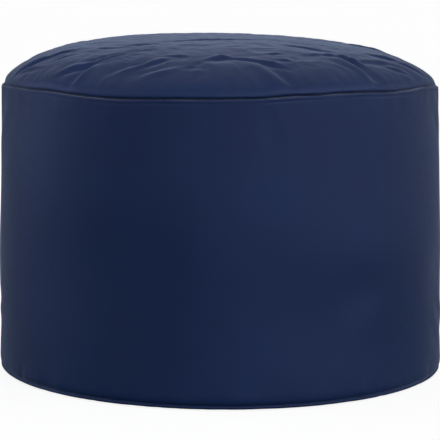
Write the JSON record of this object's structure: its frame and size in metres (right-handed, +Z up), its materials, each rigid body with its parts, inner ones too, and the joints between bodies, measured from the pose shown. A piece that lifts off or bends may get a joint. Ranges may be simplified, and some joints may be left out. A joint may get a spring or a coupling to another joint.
{
  "type": "bean bag footstool",
  "caption": "Low round footstool of navy cloth, filled with light beads: a domed top gathered into a plain upright wall, on a flat round base.",
  "frame": {"origin": "centre of the flat base, on the floor", "axes": "+Z up, -Y towards the front"},
  "size_m": [0.5122, 0.512, 0.381],
  "materials": {
    "crown_cloth": "satin",
    "side_cloth": "satin",
    "base_cloth": "satin"
  },
  "bodies": {
    "root": {"crown_panel": "crown_cloth", "side_panel": "side_cloth", "base_panel": "base_cloth"}
  },
  "joints": []
}
